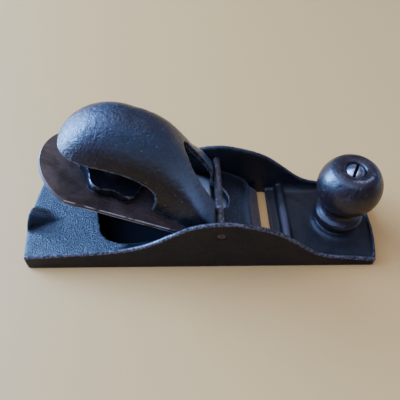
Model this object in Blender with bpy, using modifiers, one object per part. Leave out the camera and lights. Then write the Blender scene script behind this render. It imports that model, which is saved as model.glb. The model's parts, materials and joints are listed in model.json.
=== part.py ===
"""Low-angle block plane, in metres, +Z up.

The toe points along +X, the heel along -X, and -Y is the left side seen from behind.
The origin is at the centre of the flat sole, so the plane stands on Z = 0.
The iron, the lever cap and its clamp screw are drawn in the bed's own frame: local x runs down
the slope to the mouth, y across, and z is the height above the iron's lower face.
"""
import math

import bmesh
import bpy
from mathutils import Matrix, Vector

# Driving dimensions, in metres.
LENGTH = 0.178
WIDTH = 0.0508
HEEL_BULGE = 0.0025
TOE_BULGE = 0.0041
WALL = 0.0022
SOLE = 0.0036
GAP = 0.0003

# How far a cutter runs on below what it cuts, and how near a rounded end comes to its tip.
BELOW = 0.010
TIP = 0.00005

# Side outline of the cheeks from heel to toe: x and height of the rim.
CHEEK_RIM = [
    (-0.0890, 0.0090), (-0.0690, 0.0109), (-0.0500, 0.0129), (-0.0380, 0.0149), (-0.0270, 0.0190),
    (-0.0160, 0.0264), (-0.0065, 0.0325), (0.0080, 0.0352), (0.0200, 0.0330), (0.0330, 0.0279),
    (0.0440, 0.0195), (0.0520, 0.0128), (0.0590, 0.0091), (0.0700, 0.0072), (0.0890, 0.0046),
]
# Front edge of the heel platform: distance from the centre line and x.
PLATFORM_EDGE = [
    (0.0000, -0.0535), (0.0120, -0.0510), (0.0170, -0.0475), (0.0195, -0.0430), (0.0215, -0.0350),
    (0.0227, -0.0250), (0.0286, 0.0100),
]
TOE_LIP = 0.0016

# The bed: a slope that meets the sole plane at BED_FOOT and rises towards the heel.
BED_ANGLE = math.radians(26.0)
BED_FOOT = 0.0340
MOUTH_BACK = 0.0295
MOUTH_FRONT = 0.0356
MOUTH_WIDTH = 0.0462
MOUTH_TOP = 0.0120
MOUTH_RIB = 0.0428
RIB_CREST = 0.0022
RIB_TOP = 0.0074
RIB_FOOT = 0.0030
BED_RAMP = (0.0050, 0.0255)
BED_RIB = (-0.0135, -0.0095)

# The iron, in the bed's frame. It is set by hand, a little off the centre line.
IRON_SIDE = 0.0006
IRON_WIDTH = 0.0442
IRON_THICK = 0.0022
IRON_EDGE = 0.0034
IRON_BEVEL = 0.0068
IRON_SQUARE_END = 0.1045
IRON_END = 0.1190

# The cross pin.
PIN_X = 0.0070
PIN_Z = 0.0260
PIN_RADIUS = 0.0020

# The lever cap: distance up the slope, height of its top over the bed, and half width.
CAP_TOP = [
    (0.0105, 0.0034), (0.0120, 0.0055), (0.0140, 0.0072), (0.0170, 0.0087), (0.0210, 0.0092),
    (0.0340, 0.0092), (0.0372, 0.0093), (0.0386, 0.0122), (0.0400, 0.0150), (0.0430, 0.0174),
    (0.0470, 0.0203), (0.0520, 0.0238), (0.0570, 0.0275), (0.0620, 0.0318), (0.0680, 0.0358),
    (0.0740, 0.0388), (0.0800, 0.0403), (0.0860, 0.0406), (0.0900, 0.0402),
]
CAP_HALF_WIDTH = [
    (0.0105, 0.0215), (0.0450, 0.0216), (0.0490, 0.0208), (0.0530, 0.0191), (0.0570, 0.0174),
    (0.0620, 0.0163), (0.0700, 0.0158), (0.0900, 0.0158),
]
CAP_SPRING = [(0.0105, 0.0032), (0.0380, 0.0040), (0.0500, 0.0060), (0.0650, 0.0110), (0.0900, 0.0120)]
CAP_SHARPNESS = [(0.0105, 5.0), (0.0380, 4.5), (0.0500, 4.0), (0.0600, 2.8), (0.0680, 2.4), (0.0900, 2.2)]
CAP_END_POWER = 2.8
LEAST_RISE = 0.0003
LEAST_HALF_WIDTH = 0.0008
CAP_WALL = 0.0030
CAP_RELIEF = 0.040
CAP_NOSE = 0.0180
CAP_CROWN = 0.0900
CAP_END = 0.1146
PALM_RIM = [
    (0.0670, 0.0000), (0.0675, 0.0070), (0.0688, 0.0115), (0.0712, 0.0147), (0.0760, 0.0172),
    (0.0830, 0.0188), (0.0910, 0.0188), (0.0990, 0.0177), (0.1070, 0.0160), (0.1190, 0.0145),
]
HOLE_BACK = 0.0655
HOLE_WIDEST = 0.0430
HOLE_HALF_WIDTH = 0.0096
HOLE_FRONT = 0.0285
HOLE_BLUNTNESS = 0.6

# The clamp screw and its wheel.
STUD_AT = 0.0862
STUD_RADIUS = 0.0032
STUD_TOP = 0.0345
BORE_TOP = 0.0370
BOSS_RADIUS = 0.0062
BOSS_FOOT = 0.0190
WHEEL_FOOT = 0.0032
WHEEL_RIM = 0.0046
WHEEL_HUB_TOP = 0.0125
WHEEL_HUB_RADIUS = 0.0060
WHEEL_RADIUS = 0.0158
WHEEL_LOBE = 0.0014
WHEEL_LOBES = 6
WHEEL_TURN = math.radians(-1.0)

# The front knob: radius and height of its turned outline, from the top down.
KNOB_X = 0.0700
KNOB_PROFILE = [
    (0.0056, 0.0446), (0.0085, 0.0440), (0.0118, 0.0416), (0.0142, 0.0377), (0.0153, 0.0333),
    (0.0152, 0.0295), (0.0139, 0.0252), (0.0115, 0.0217), (0.0095, 0.0196), (0.0088, 0.0178),
    (0.0090, 0.0160), (0.0100, 0.0143), (0.0116, 0.0132), (0.0123, 0.0117), (0.0122, 0.0098),
    (0.0113, 0.0082), (0.0098, 0.0072),
]
KNOB_BORE = 0.0026
SCREW_HEAD_RADIUS = 0.0047
SCREW_HEAD_DEPTH = 0.0030
SCREW_TOP = 0.0443
SCREW_SHANK = 0.0022
SCREW_FOOT = 0.0012
SLOT_WIDTH = 0.0013
SLOT_DEPTH = 0.0013
SLOT_TURN = math.radians(-28.0)
SHANK_LAP = 0.0010
BOSS_TOP = 0.0065
TOE_BOSS_RADIUS = 0.0100
TOE_BOSS_FOOT = 0.0112

# The raised half cone on the heel platform.
HORN_LENGTH = 0.0180
HORN_RADIUS = 0.0078
HORN_HEIGHT = 0.0044
HORN_SIDE = -0.0022
HORN_SET_IN = 0.0006
HORN_FLOOR = 0.0092


def clear_scene():
    for thing in list(bpy.data.objects):
        bpy.data.objects.remove(thing, do_unlink=True)


def make_collection(name):
    collection = bpy.data.collections.new(name)
    bpy.context.scene.collection.children.link(collection)
    return collection


def make_material(name, colour, roughness, metallic):
    material = bpy.data.materials.new(name)
    material.use_nodes = True
    shader = material.node_tree.nodes["Principled BSDF"]
    shader.inputs["Base Color"].default_value = (*colour, 1.0)
    shader.inputs["Roughness"].default_value = roughness
    shader.inputs["Metallic"].default_value = metallic
    return material


def object_from(name, shape, collection, material=None):
    """Turns a bmesh into a named object with outward faces."""
    bmesh.ops.recalc_face_normals(shape, faces=shape.faces[:])
    mesh = bpy.data.meshes.new(name)
    shape.to_mesh(mesh)
    shape.free()
    thing = bpy.data.objects.new(name, mesh)
    collection.objects.link(thing)
    if material:
        mesh.materials.append(material)
    return thing


def as_cutter(thing):
    thing.hide_render = True
    thing.display_type = "WIRE"
    return thing


def combine(target, tool, operation):
    """Adds an exact Boolean of the tool to the target."""
    modifier = target.modifiers.new(f"{operation.lower()}_{tool.name}", "BOOLEAN")
    modifier.operation = operation
    modifier.solver = "EXACT"
    modifier.object = tool


def shade_round(thing, angle=35.0):
    thing.data.shade_smooth()
    thing.data.set_sharp_from_angle(angle=math.radians(angle))


def smooth_value(points, x):
    """Reads a smooth curve (Catmull-Rom) through points that rise in x."""
    if x <= points[0][0]:
        return points[0][1]
    if x >= points[-1][0]:
        return points[-1][1]
    i = max(k for k in range(len(points) - 1) if points[k][0] <= x)
    slopes = []
    for k in (i, i + 1):
        low, high = points[max(k - 1, 0)], points[min(k + 1, len(points) - 1)]
        slopes.append((high[1] - low[1]) / (high[0] - low[0]))
    span = points[i + 1][0] - points[i][0]
    t = (x - points[i][0]) / span
    start, end = points[i][1], points[i + 1][1]
    return (
        (2 * t**3 - 3 * t**2 + 1) * start
        + (t**3 - 2 * t**2 + t) * span * slopes[0]
        + (3 * t**2 - 2 * t**3) * end
        + (t**3 - t**2) * span * slopes[1]
    )


def prism(outline, low, high, axis):
    """Extrudes a flat closed outline of (a, b) pairs along the Y or Z axis."""
    shape = bmesh.new()
    place = {"Y": lambda a, b, c: (a, c, b), "Z": lambda a, b, c: (a, b, c)}[axis]
    bottom = [shape.verts.new(place(a, b, low)) for a, b in outline]
    face = shape.faces.new(bottom)
    raised = bmesh.ops.extrude_face_region(shape, geom=[face])
    tops = [item for item in raised["geom"] if isinstance(item, bmesh.types.BMVert)]
    bmesh.ops.translate(shape, verts=tops, vec=Vector(place(0.0, 0.0, high - low)))
    return shape


def cylinder(radius, low, high, segments=48, top_radius=None):
    shape = bmesh.new()
    bmesh.ops.create_cone(
        shape, cap_ends=True, segments=segments, radius1=radius,
        radius2=radius if top_radius is None else top_radius, depth=high - low,
    )
    bmesh.ops.translate(shape, verts=shape.verts[:], vec=(0.0, 0.0, (low + high) / 2))
    return shape


def box(low, high):
    shape = bmesh.new()
    bmesh.ops.create_cube(shape, size=1.0)
    size = Vector(high) - Vector(low)
    bmesh.ops.scale(shape, verts=shape.verts[:], vec=size)
    bmesh.ops.translate(shape, verts=shape.verts[:], vec=(Vector(low) + Vector(high)) / 2)
    return shape


def turned(name, profile, collection, material, segments=56):
    """Turns an outline of (radius, height) pairs, given top to bottom, about the Z axis."""
    shape = bmesh.new()
    points = [(0.0, profile[0][1])] + list(profile) + [(0.0, profile[-1][1])]
    verts = [shape.verts.new((radius, 0.0, height)) for radius, height in points]
    for first, second in zip(verts, verts[1:]):
        shape.edges.new((first, second))
    mesh = bpy.data.meshes.new(name)
    shape.to_mesh(mesh)
    shape.free()
    thing = bpy.data.objects.new(name, mesh)
    collection.objects.link(thing)
    mesh.materials.append(material)
    screw = thing.modifiers.new("turn", "SCREW")
    screw.axis = "Z"
    screw.steps = segments
    screw.render_steps = segments
    screw.use_merge_vertices = True
    screw.merge_threshold = 0.00001
    screw.use_smooth_shade = True
    return thing


def skin_rings(rings):
    """Joins equal closed rings of points into one closed body."""
    shape = bmesh.new()
    loops = [[shape.verts.new(point) for point in ring] for ring in rings]
    for one, two in zip(loops, loops[1:]):
        count = len(one)
        for i in range(count):
            j = (i + 1) % count
            shape.faces.new((one[i], one[j], two[j], two[i]))
    shape.faces.new(loops[0])
    shape.faces.new(list(reversed(loops[-1])))
    return shape


def from_bed(point):
    """Takes a point (distance up the slope, y, height) to world axes."""
    up, across, height = point
    slope = Vector((-math.cos(BED_ANGLE), 0.0, math.sin(BED_ANGLE)))
    normal = Vector((math.sin(BED_ANGLE), 0.0, math.cos(BED_ANGLE)))
    return Vector((BED_FOOT, across, 0.0)) + up * slope + height * normal


def to_bed(x, z):
    """Takes a world (x, z) to distance up the slope and height over the bed."""
    dx = x - BED_FOOT
    up = -dx * math.cos(BED_ANGLE) + z * math.sin(BED_ANGLE)
    height = dx * math.sin(BED_ANGLE) + z * math.cos(BED_ANGLE)
    return up, height


def set_on_bed(thing, pivot_up, pivot_height):
    """Places a body drawn in the bed's frame, with its origin at the given pivot."""
    thing.data.transform(Matrix.Translation((pivot_up, 0.0, -pivot_height)))
    thing.location = from_bed((pivot_up, IRON_SIDE, pivot_height))
    thing.rotation_euler = (0.0, BED_ANGLE, 0.0)


def plan_outline(steps=14):
    """The sole's outline: straight sides with bowed heel and toe ends."""
    half = WIDTH / 2
    points = []
    for end, bulge in ((1, TOE_BULGE), (-1, HEEL_BULGE)):
        for i in range(steps + 1):
            y = end * half * (2 * i / steps - 1)
            bow = bulge * (1 - (y / half) ** 2)
            points.append((end * (LENGTH / 2 - bulge + bow), y))
    return points


def build_body(parts, cutters, iron):
    """The casting: sole, cheeks, heel platform, bed ribs, mouth rib and knob boss."""
    tall = 1.1 * max(height for _, height in CHEEK_RIM)
    body = object_from("body_casting", prism(plan_outline(), 0.0, tall, "Z"), parts, iron)

    steps = 90
    above = [(-LENGTH, 2 * tall), (-LENGTH, CHEEK_RIM[0][1])]
    for i in range(steps + 1):
        x = -LENGTH / 2 + LENGTH * i / steps
        above.append((x, smooth_value(CHEEK_RIM, x)))
    above += [(LENGTH, CHEEK_RIM[-1][1]), (LENGTH, 2 * tall)]
    shape = prism(above, -WIDTH, WIDTH, "Y")
    combine(body, as_cutter(object_from("above_rim", shape, cutters)), "DIFFERENCE")

    # The open tray between the cheeks, from the heel platform's bowed front edge to the toe.
    inner = WIDTH / 2 - WALL
    toe = LENGTH / 2 - TOE_BULGE
    tray = []
    for i in range(13):
        y = -inner + 2 * inner * i / 12
        bow = TOE_BULGE * (1 - (y / (WIDTH / 2)) ** 2)
        tray.append((toe + bow - TOE_LIP, y))
    for i in range(17):
        y = inner - 2 * inner * i / 16
        tray.append((smooth_value(PLATFORM_EDGE, abs(y)), y))
    shape = prism(tray, SOLE, 2 * tall, "Z")
    combine(body, as_cutter(object_from("tray", shape, cutters)), "DIFFERENCE")

    # Bed: a solid ramp behind the mouth and an upper cross rib, both under the iron.
    reach = inner + WALL / 2
    root = SOLE / 2
    top = from_bed((0.0, 0.0, -GAP))
    slope = math.tan(BED_ANGLE)

    def bed_height(x):
        return (top.x - x) * slope + top.z

    for name, (rear, front) in (("bed_ramp", BED_RAMP), ("bed_rib", BED_RIB)):
        side = [(rear, root), (front, root), (front, bed_height(front)), (rear, bed_height(rear))]
        shape = prism(side, -reach, reach, "Y")
        combine(body, as_cutter(object_from(name, shape, cutters)), "UNION")

    # The cross rib ahead of the mouth, round on top.
    arch = [(MOUTH_RIB + RIB_CREST * math.cos(a), RIB_TOP - RIB_CREST + RIB_CREST * math.sin(a))
            for a in (math.pi * i / 8 for i in range(9))]
    arch += [(MOUTH_RIB - RIB_FOOT, root), (MOUTH_RIB + RIB_FOOT, root)]
    shape = prism(arch, -reach, reach, "Y")
    combine(body, as_cutter(object_from("mouth_rib", shape, cutters)), "UNION")

    # The boss that the knob stands on, with the screw's hole.
    shape = cylinder(TOE_BOSS_FOOT, root, BOSS_TOP, top_radius=TOE_BOSS_RADIUS)
    boss = as_cutter(object_from("toe_boss", shape, cutters))
    boss.location.x = KNOB_X
    combine(body, boss, "UNION")

    # The raised half cone that runs forward from the heel edge.
    shape = bmesh.new()
    bmesh.ops.create_cone(shape, cap_ends=True, segments=40, radius1=HORN_RADIUS, radius2=GAP,
                          depth=HORN_LENGTH)
    turn = Matrix.Rotation(math.pi / 2, 4, "Y")
    flatten = Matrix.Diagonal((1.0, 1.0, HORN_HEIGHT / HORN_RADIUS, 1.0))
    heel = -LENGTH / 2
    place = Matrix.Translation((heel + HORN_SET_IN + HORN_LENGTH / 2, HORN_SIDE, HORN_FLOOR))
    bmesh.ops.transform(shape, verts=shape.verts[:], matrix=place @ flatten @ turn)
    combine(body, as_cutter(object_from("heel_horn", shape, cutters)), "UNION")

    # Holes: the mouth, the cross pin and the knob screw.
    mouth = [(MOUTH_BACK, -BELOW), (MOUTH_FRONT, -BELOW), (MOUTH_FRONT, MOUTH_TOP),
             (top.x - (MOUTH_TOP - top.z) / slope, MOUTH_TOP), (MOUTH_BACK, bed_height(MOUTH_BACK))]
    shape = prism(mouth, -MOUTH_WIDTH / 2, MOUTH_WIDTH / 2, "Y")
    combine(body, as_cutter(object_from("mouth", shape, cutters)), "DIFFERENCE")
    pin_hole = as_cutter(object_from("pin_hole", cylinder(PIN_RADIUS + GAP, -WIDTH, WIDTH), cutters))
    pin_hole.rotation_euler.x = math.pi / 2
    pin_hole.location = (PIN_X, 0.0, PIN_Z)
    combine(body, pin_hole, "DIFFERENCE")
    shape = cylinder(SCREW_SHANK + GAP, -BELOW, 2 * BOSS_TOP, segments=32)
    screw_hole = as_cutter(object_from("screw_hole", shape, cutters))
    screw_hole.location.x = KNOB_X
    combine(body, screw_hole, "DIFFERENCE")
    shade_round(body)
    return body


def build_pin(parts, steel):
    """The cross pin, with its ends riveted flush with the cheeks."""
    shape = cylinder(PIN_RADIUS, -WIDTH / 2 + TIP, WIDTH / 2 - TIP, segments=40)
    pin = object_from("cross_pin", shape, parts, steel)
    pin.rotation_euler.x = math.pi / 2
    pin.location = (PIN_X, 0.0, PIN_Z)
    shade_round(pin)
    return pin


def build_iron(parts, steel):
    """The iron: a bevel at the mouth end and a round rear end."""
    half = IRON_WIDTH / 2
    drop = IRON_END - IRON_SQUARE_END
    radius = (half**2 + drop**2) / (2 * drop)
    sweep = math.asin(half / radius)
    outline = [(-IRON_EDGE, -half), (-IRON_EDGE, half)]
    steps = 28
    for i in range(steps + 1):
        angle = sweep * (1 - 2 * i / steps)
        outline.append((-(IRON_END - radius + radius * math.cos(angle)), radius * math.sin(angle)))
    shape = prism(outline, 0.0, IRON_THICK, "Z")
    for vert in shape.verts:
        if vert.co.x > -IRON_EDGE - 1e-6 and vert.co.z > 1e-6:
            vert.co.x = -IRON_EDGE - IRON_BEVEL
    iron = object_from("cutter_iron", shape, parts, steel)
    set_on_bed(iron, 0.0, 0.0)
    return iron


def cap_ring(up, inset, foot):
    """One section across the lever cap, shrunk by an inset, from a foot height up."""
    if up <= CAP_CROWN:
        top, half = smooth_value(CAP_TOP, up), smooth_value(CAP_HALF_WIDTH, up)
    else:
        along = min((up - CAP_CROWN) / (CAP_END - CAP_CROWN - inset), 1.0)
        crown, spring = CAP_TOP[-1][1], CAP_SPRING[-1][1]
        top = spring + (crown - inset - spring) * math.sqrt(1 - along**2) + inset
        half = (CAP_HALF_WIDTH[-1][1] - inset) * (1 - along**CAP_END_POWER) ** (1 / CAP_END_POWER) + inset
    spring = min(smooth_value(CAP_SPRING, up), top - LEAST_RISE)
    power = 2 / smooth_value(CAP_SHARPNESS, up)
    half = max(half - inset, LEAST_HALF_WIDTH)
    rise = max(top - inset - spring, LEAST_RISE)
    ring = [(-up, -half, foot)]
    steps = 22
    for i in range(steps + 1):
        angle = math.pi * (1 - i / steps)
        across, lift = math.cos(angle), max(math.sin(angle), 0.0)
        y = half * math.copysign(abs(across) ** power, across)
        ring.append((-up, y, spring + rise * lift**power))
    ring.append((-up, half, foot))
    return ring


def build_cap(parts, cutters, iron):
    """The lever cap: nosed plate, flared shoulders and a hollow domed palm rest."""
    def stations(first, last):
        flat = [first + (CAP_CROWN - first) * i / 40 for i in range(40)]
        bow = [CAP_CROWN + (last - CAP_CROWN) * math.sin(math.pi / 2 * i / 16) for i in range(17)]
        return flat + bow

    pin_up, pin_height = to_bed(PIN_X, PIN_Z)

    def cap_foot(up):
        """The cap bears on its lip; behind the pin its lower edge rises clear of the iron."""
        return IRON_THICK + GAP + CAP_RELIEF * max(up - pin_up, 0.0)

    rings = [cap_ring(up, 0.0, cap_foot(up)) for up in stations(CAP_TOP[0][0], CAP_END - TIP)]
    cap = object_from("lever_cap", skin_rings(rings), parts, iron)
    last = CAP_END - CAP_WALL - TIP
    rings = [cap_ring(up, CAP_WALL, -BELOW) for up in stations(CAP_NOSE, last)]
    hollow = object_from("cap_hollow", skin_rings(rings), cutters)
    combine(cap, as_cutter(hollow), "DIFFERENCE")

    # The boss inside the palm rest that the stud is threaded into: it is left standing in the hollow.
    boss = object_from("stud_boss", cylinder(BOSS_RADIUS, BOSS_FOOT, 2 * STUD_TOP, 32), cutters)
    boss.data.transform(Matrix.Translation((-STUD_AT, 0.0, 0.0)))
    combine(hollow, as_cutter(boss), "DIFFERENCE")

    # The finger gap round the clamp wheel, open at both sides and the rear.
    steps = 26
    first, final = PALM_RIM[1][0], PALM_RIM[-1][0]
    gap = [(-PALM_RIM[0][0], -BELOW)]
    for i in range(steps + 1):
        up = first + (final - first) * (i / steps) ** 1.6
        gap.append((-up, smooth_value(PALM_RIM[1:], up)))
    gap.append((-final, -BELOW))
    finger_gap = object_from("finger_gap", prism(gap, -WIDTH, WIDTH, "Y"), cutters)
    combine(cap, as_cutter(finger_gap), "DIFFERENCE")

    # The teardrop hole through the front of the palm rest.
    drop = []
    steps = 18
    for i in range(steps + 1):
        t = i / steps
        up = HOLE_BACK + (HOLE_WIDEST - HOLE_BACK) * t
        drop.append((-up, HOLE_HALF_WIDTH * math.sin(math.pi / 2 * t) ** HOLE_BLUNTNESS))
    nose = HOLE_WIDEST - HOLE_FRONT
    for i in range(1, steps):
        angle = math.pi * i / (2 * steps)
        drop.append((-(HOLE_WIDEST - nose * math.sin(angle)), HOLE_HALF_WIDTH * math.cos(angle)))
    drop.append((-HOLE_FRONT, 0.0))
    drop += [(x, -y) for x, y in reversed(drop[1:-1])]
    hole = object_from("teardrop", prism(drop, -BELOW, 2 * STUD_TOP, "Z"), cutters)
    combine(cap, as_cutter(hole), "DIFFERENCE")

    # The blind hole for the stud.
    bore = object_from("stud_bore", cylinder(STUD_RADIUS + GAP, 0.0, BORE_TOP, 32), cutters)
    bore.data.transform(Matrix.Translation((-STUD_AT, 0.0, 0.0)))
    combine(cap, as_cutter(bore), "DIFFERENCE")

    for thing in (hollow, boss, finger_gap, hole, bore, cap):
        set_on_bed(thing, pin_up, pin_height)
    shade_round(cap)
    return cap


def build_stud(parts, steel):
    """The clamp stud, standing on the iron and running up into the cap's boss."""
    foot = IRON_THICK + GAP
    shape = cylinder(STUD_RADIUS, foot, STUD_TOP, segments=32)
    for vert in shape.verts:
        vert.co.x -= STUD_AT
    stud = object_from("clamp_stud", shape, parts, steel)
    set_on_bed(stud, STUD_AT, foot)
    shade_round(stud)
    return stud


def build_wheel(parts, cutters, iron):
    """The lobed hand wheel with its hub, bored for the stud."""
    outline = []
    steps = 16 * WHEEL_LOBES
    for i in range(steps):
        angle = 2 * math.pi * i / steps
        radius = WHEEL_RADIUS + WHEEL_LOBE * math.cos(WHEEL_LOBES * (angle - WHEEL_TURN))
        outline.append((radius * math.cos(angle), radius * math.sin(angle)))
    shape = prism(outline, WHEEL_FOOT, WHEEL_FOOT + WHEEL_RIM, "Z")
    wheel = object_from("clamp_wheel", shape, parts, iron)
    low = WHEEL_FOOT + WHEEL_RIM / 2
    hub = object_from("wheel_hub", cylinder(WHEEL_HUB_RADIUS, low, WHEEL_HUB_TOP, 40), cutters)
    bore = object_from("wheel_bore", cylinder(STUD_RADIUS + GAP, -BELOW, STUD_TOP, 32), cutters)
    for thing, operation in ((hub, "UNION"), (bore, "DIFFERENCE")):
        combine(wheel, as_cutter(thing), operation)
    for thing in (wheel, hub, bore):
        thing.data.transform(Matrix.Translation((-STUD_AT, 0.0, 0.0)))
        set_on_bed(thing, STUD_AT, WHEEL_FOOT)
    shade_round(wheel)
    return wheel


def build_knob(parts, cutters, wood):
    """The turned knob, bored and countersunk for its screw."""
    knob = turned("front_knob", KNOB_PROFILE, parts, wood)
    knob.location.x = KNOB_X
    bore = object_from("knob_bore", cylinder(KNOB_BORE, -BELOW, 2 * SCREW_TOP, 32), cutters)
    seat = SCREW_TOP - SCREW_HEAD_DEPTH - GAP
    sink = object_from("knob_sink", cylinder(SCREW_HEAD_RADIUS + GAP, seat, 2 * SCREW_TOP, 40), cutters)
    for thing in (bore, sink):
        thing.location.x = KNOB_X
        combine(knob, as_cutter(thing), "DIFFERENCE")
    return knob


def build_screw(parts, cutters, steel):
    """The knob's slotted screw, from its head down into the toe boss."""
    low = SCREW_TOP - SCREW_HEAD_DEPTH
    shape = cylinder(SCREW_SHANK, SCREW_FOOT, low + SHANK_LAP, segments=28)
    screw = object_from("knob_screw", shape, parts, steel)
    head = object_from("screw_head", cylinder(SCREW_HEAD_RADIUS, low, SCREW_TOP, 40), cutters)
    combine(screw, as_cutter(head), "UNION")
    slot_low = (-SLOT_WIDTH / 2, -2 * SCREW_HEAD_RADIUS, SCREW_TOP - SLOT_DEPTH)
    slot_high = (SLOT_WIDTH / 2, 2 * SCREW_HEAD_RADIUS, 2 * SCREW_TOP)
    slot = object_from("screw_slot", box(slot_low, slot_high), cutters)
    combine(screw, as_cutter(slot), "DIFFERENCE")
    for thing in (screw, head, slot):
        thing.location.x = KNOB_X
    slot.rotation_euler.z = SLOT_TURN
    shade_round(screw)
    return screw


def main():
    clear_scene()
    parts = make_collection("hand_plane")
    cutters = make_collection("cutters")
    cast_iron = make_material("worn_cast_iron", (0.020, 0.020, 0.024), 0.42, 0.6)
    cap_iron = make_material("lever_cap_iron", (0.024, 0.026, 0.032), 0.38, 0.6)
    wheel_iron = make_material("wheel_iron", (0.030, 0.028, 0.028), 0.40, 0.7)
    blade_steel = make_material("patinated_steel", (0.090, 0.075, 0.072), 0.38, 0.9)
    rod_steel = make_material("rod_steel", (0.120, 0.110, 0.110), 0.35, 0.9)
    screw_steel = make_material("screw_steel", (0.150, 0.150, 0.160), 0.30, 0.9)
    wood = make_material("dark_wood", (0.018, 0.011, 0.012), 0.28, 0.0)
    build_body(parts, cutters, cast_iron)
    build_pin(parts, rod_steel)
    build_iron(parts, blade_steel)
    build_cap(parts, cutters, cap_iron)
    build_stud(parts, rod_steel)
    build_wheel(parts, cutters, wheel_iron)
    build_knob(parts, cutters, wood)
    build_screw(parts, cutters, screw_steel)


main()
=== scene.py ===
"""The looks of the low-angle block plane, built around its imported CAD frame.

Metres, in the CAD's frame: the toe points along +X, the near cheek is at -Y, the sole is at Z = 0.
The iron, the lever cap and the clamp are drawn in the bed's frame, (up the slope, across, height).
"""
import json
import math

import bmesh
import bpy
import numpy as np
from mathutils import Matrix, Vector


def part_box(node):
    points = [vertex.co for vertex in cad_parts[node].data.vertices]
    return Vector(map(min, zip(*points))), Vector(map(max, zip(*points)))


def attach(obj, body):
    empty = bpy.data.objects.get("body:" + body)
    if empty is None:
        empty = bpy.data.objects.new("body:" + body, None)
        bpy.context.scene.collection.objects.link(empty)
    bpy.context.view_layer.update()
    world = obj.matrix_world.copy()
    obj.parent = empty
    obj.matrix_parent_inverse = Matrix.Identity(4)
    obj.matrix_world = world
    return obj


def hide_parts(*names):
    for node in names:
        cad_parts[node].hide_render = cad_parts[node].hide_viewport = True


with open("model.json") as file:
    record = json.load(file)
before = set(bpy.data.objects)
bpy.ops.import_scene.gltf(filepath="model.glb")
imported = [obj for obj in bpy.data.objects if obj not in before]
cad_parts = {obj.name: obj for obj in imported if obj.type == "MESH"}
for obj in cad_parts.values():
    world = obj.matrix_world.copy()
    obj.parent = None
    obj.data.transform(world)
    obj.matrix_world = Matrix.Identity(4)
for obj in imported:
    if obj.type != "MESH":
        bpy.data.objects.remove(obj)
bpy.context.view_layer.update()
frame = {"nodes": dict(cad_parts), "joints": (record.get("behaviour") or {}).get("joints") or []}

JOINTS = {joint["name"]: joint for joint in frame["joints"]}
BODY_LOW, BODY_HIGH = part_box("body_casting")

# The CAD's gap between pieces that touch.
GAP = 0.0003

# The bed: its slope comes from the iron's slide, and it meets the sole plane at BED_FOOT.
DOWN_SLOPE = Vector(JOINTS["iron_slide"]["axis"]).normalized()
BED_NORMAL = Vector(JOINTS["wheel_turn"]["axis"]).normalized()
BED_FOOT = Vector((0.0340, 0.0, 0.0))
IRON_SIDE = JOINTS["wheel_turn"]["pos_m"][1]

# The casting. Its horn is the half cone on the heel, and its side gets painted shade.
WALL = 0.0022
SOLE = 0.0036
CHEEK = BODY_HIGH.y - WALL
RIM_ROUND = 0.0011
RIM_DEPTH = 0.0030
KNOB_X = sum(corner.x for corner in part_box("front_knob")) / 2
PIN_CENTRE = Vector(JOINTS["cap_rock"]["pos_m"])
PIN_RADIUS = 0.0020
HORN_LENGTH = 0.0180
HORN_RADIUS = 0.0078
HORN_SIDE = -0.0022

# Along the plane: the floor under the iron, which gets painted shade, and the rib ahead of the mouth, which
# gets a painted highlight.
WELL_BACK = -0.0550
WELL_FRONT = 0.0300
RIB_BACK = 0.0400
RIB_FRONT = 0.0450

# Fillets between the floor and the cheeks: name, start and end along the plane, radius.
FILLETS = [
    ("toe_fillet", 0.0455, 0.0835, 0.0045),
    ("throat_fillet", 0.0352, 0.0405, 0.0020),
    ("heel_fillet", -0.0480, -0.0130, 0.0012),
]

# The iron.
IRON_WIDTH = 0.0442
IRON_THICK = 0.0022
IRON_EDGE = 0.0034
IRON_BEVEL = 0.0068
IRON_SQUARE_END = 0.1045
IRON_END = 0.1190
IRON_ROUND = 0.0003

# The lever cap, in the bed's frame: distance up the slope against height or half width.
CAP_TOP = [
    (0.0105, 0.0034), (0.0120, 0.0055), (0.0140, 0.0072), (0.0170, 0.0087), (0.0210, 0.0092),
    (0.0340, 0.0092), (0.0372, 0.0093), (0.0386, 0.0122), (0.0400, 0.0150), (0.0430, 0.0174),
    (0.0470, 0.0203), (0.0520, 0.0238), (0.0570, 0.0275), (0.0620, 0.0318), (0.0680, 0.0358),
    (0.0740, 0.0388), (0.0800, 0.0403), (0.0860, 0.0406), (0.0900, 0.0402),
]
CAP_HALF_WIDTH = [
    (0.0105, 0.0215), (0.0450, 0.0216), (0.0490, 0.0208), (0.0530, 0.0191), (0.0570, 0.0174),
    (0.0620, 0.0163), (0.0700, 0.0158), (0.0900, 0.0158),
]
CAP_SPRING = [(0.0105, 0.0032), (0.0380, 0.0040), (0.0500, 0.0060), (0.0650, 0.0110), (0.0900, 0.0120)]
CAP_SHARPNESS = [(0.0105, 5.0), (0.0380, 4.5), (0.0500, 4.0), (0.0600, 2.8), (0.0680, 2.4), (0.0900, 2.2)]
CAP_END_POWER = 2.8
LEAST_RISE = 0.0003
LEAST_HALF_WIDTH = 0.0008
CAP_WALL = 0.0030
CAP_RELIEF = 0.040
CAP_NOSE = 0.0180
CAP_CROWN = 0.0900
CAP_END = 0.1146
TIP = 0.00005
PALM_RIM = [
    (0.0675, 0.0070), (0.0688, 0.0115), (0.0712, 0.0147), (0.0760, 0.0172),
    (0.0830, 0.0188), (0.0910, 0.0188), (0.0990, 0.0177), (0.1070, 0.0160), (0.1190, 0.0145),
]
HOLE_BACK = 0.0655
HOLE_WIDEST = 0.0430
HOLE_HALF_WIDTH = 0.0096
HOLE_FRONT = 0.0285
HOLE_BLUNTNESS = 0.6

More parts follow.
